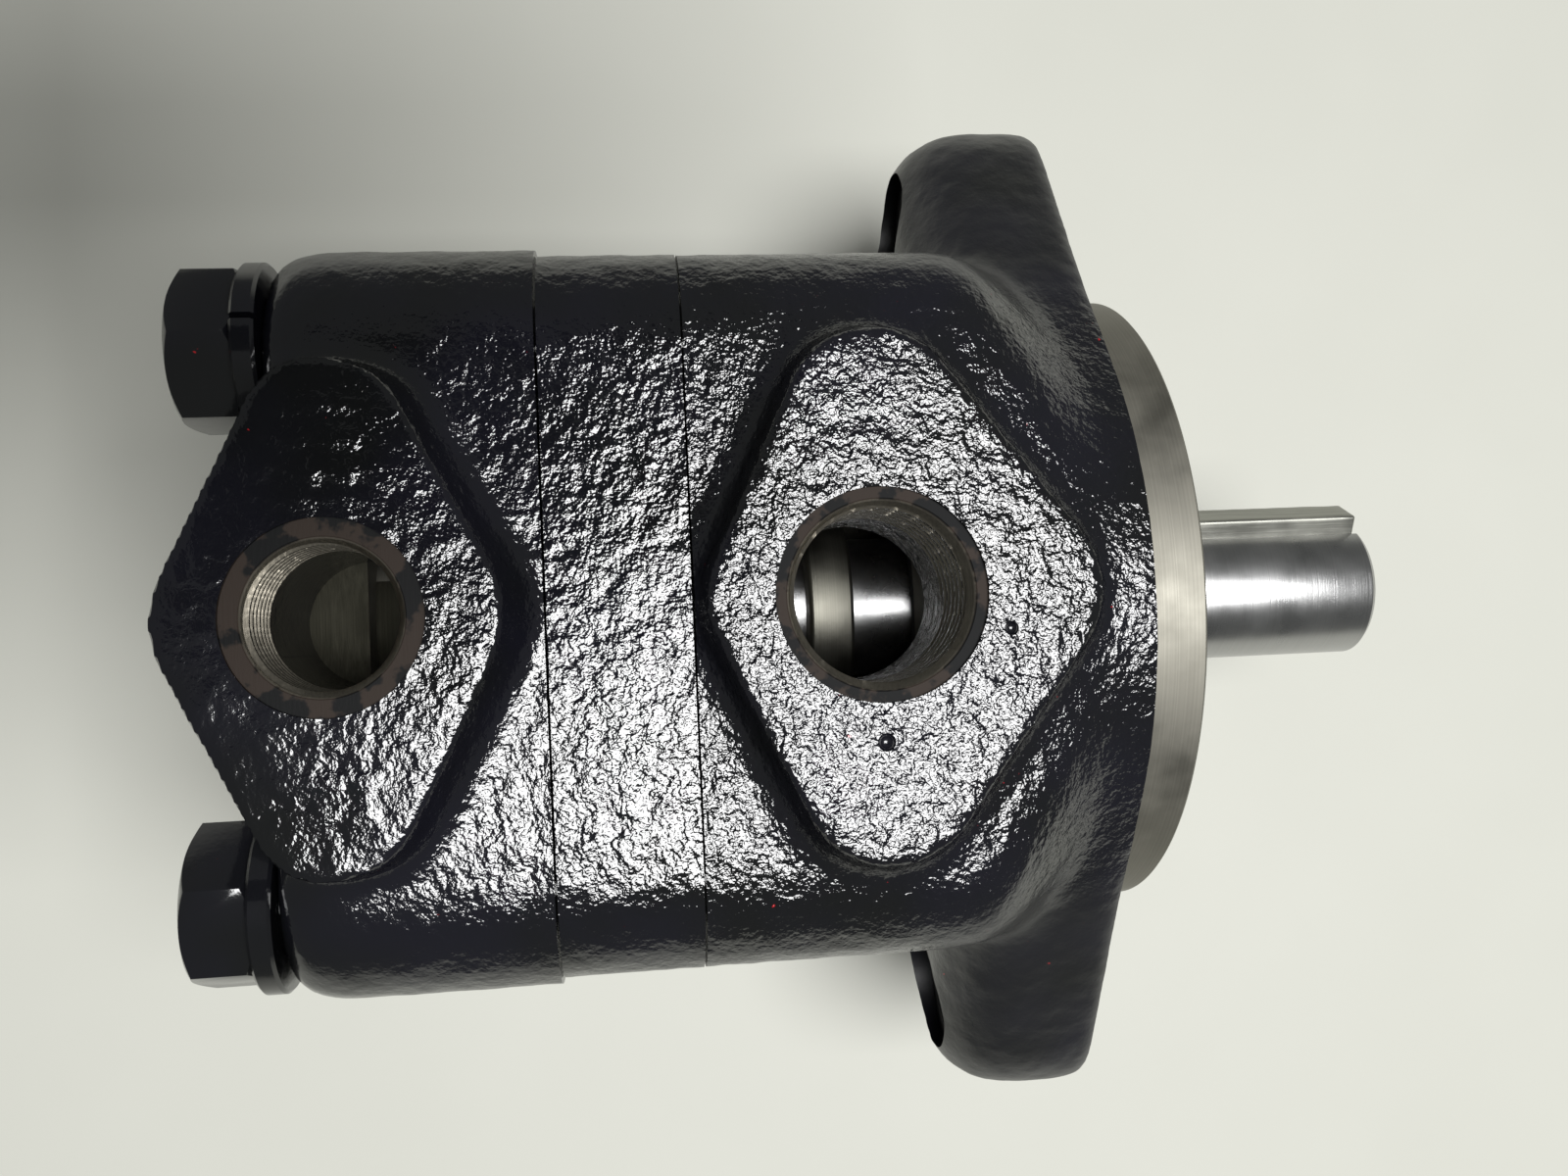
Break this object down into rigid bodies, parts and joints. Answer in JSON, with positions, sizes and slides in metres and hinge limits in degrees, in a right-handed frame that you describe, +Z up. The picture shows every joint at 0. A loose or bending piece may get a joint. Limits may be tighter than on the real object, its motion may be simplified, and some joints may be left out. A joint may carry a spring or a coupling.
{
  "type": "hydraulic gear pump",
  "caption": "Small cast-iron internal gear pump with a two-bolt flange, keyed shaft, stacked body, ring and cover, and two threaded ports facing the same way.",
  "frame": {"origin": "bottom centre of the pump's box, on the surface it rests on with its ports up", "axes": "+X along the shaft towards its drive end, +Y towards an ear of the flange, +Z up, the way both ports face"},
  "size_m": [0.1524, 0.1334, 0.089],
  "materials": {
    "body_enamel": "thick gloss black enamel over rough sand-cast iron",
    "ring_enamel": "thick gloss black enamel over finely pebbled cast iron",
    "cover_enamel": "thick gloss black enamel over rough sand-cast iron",
    "bolt_enamel": "gloss black enamel over a forged hex head",
    "washer_enamel": "gloss black enamel",
    "ground_steel": "ground and polished bright steel",
    "turned_steel": "fine turned, oily",
    "key_steel": "dull drawn key steel",
    "sintered_steel": "ground sintered steel",
    "bearing_steel": "superfinished",
    "cage_brass": "machined satin",
    "spring_steel": "oil blacked",
    "seal_case_steel": "pressed sheet, satin",
    "seal_rubber": "matte nitrile",
    "o_ring_rubber": "matte nitrile",
    "bushing_bronze": "satin bronze",
    "dowel_steel": "ground"
  },
  "bodies": {
    "housing": {"inlet_body": "body_enamel", "gerotor_ring": "ring_enamel", "outlet_cover": "cover_enamel", "cover_bolt_1": "bolt_enamel", "cover_bolt_2": "bolt_enamel", "cover_bolt_3": "bolt_enamel", "cover_bolt_4": "bolt_enamel", "lock_washer_1": "washer_enamel", "lock_washer_2": "washer_enamel", "lock_washer_3": "washer_enamel", "lock_washer_4": "washer_enamel", "dowel_pin_1": "dowel_steel", "dowel_pin_2": "dowel_steel", "bearing_outer_race": "bearing_steel", "body_snap_ring": "spring_steel", "seal_case": "seal_case_steel", "seal_lip": "seal_rubber", "garter_spring": "spring_steel", "body_bushing": "bushing_bronze", "cover_bushing": "bushing_bronze", "body_o_ring": "o_ring_rubber", "cover_o_ring": "o_ring_rubber"},
    "rotating_group": {"drive_shaft": "ground_steel", "shaft_key": "key_steel", "rotor_key": "key_steel", "shaft_collar": "turned_steel", "inner_rotor": "sintered_steel", "bearing_inner_race": "bearing_steel", "shaft_snap_ring": "spring_steel"},
    "ring_gear": {"outer_rotor": "sintered_steel"},
    "ball_train": {"bearing_cage": "cage_brass", "bearing_ball_1": "bearing_steel", "bearing_ball_2": "bearing_steel", "bearing_ball_3": "bearing_steel", "bearing_ball_4": "bearing_steel", "bearing_ball_5": "bearing_steel", "bearing_ball_6": "bearing_steel", "bearing_ball_7": "bearing_steel", "bearing_ball_8": "bearing_steel"}
  },
  "joints": [
    {"name": "shaft_spin", "type": "hinge", "parent": "housing", "child": "rotating_group", "pos_m": [0.0307, 0, 0.042], "axis": [1, 0, 0], "continuous": true},
    {"name": "ring_gear_spin", "type": "hinge", "parent": "housing", "child": "ring_gear", "pos_m": [-0.029, -0.0025, 0.042], "axis": [1, 0, 0], "continuous": true},
    {"name": "ball_train_spin", "type": "hinge", "parent": "housing", "child": "ball_train", "pos_m": [0.0249, 0, 0.042], "axis": [1, 0, 0], "continuous": true}
  ],
  "couplings": [
    {"joint": "ring_gear_spin", "follows": "shaft_spin", "ratio": 0.85714},
    {"joint": "ball_train_spin", "follows": "shaft_spin", "ratio": 0.3815}
  ]
}
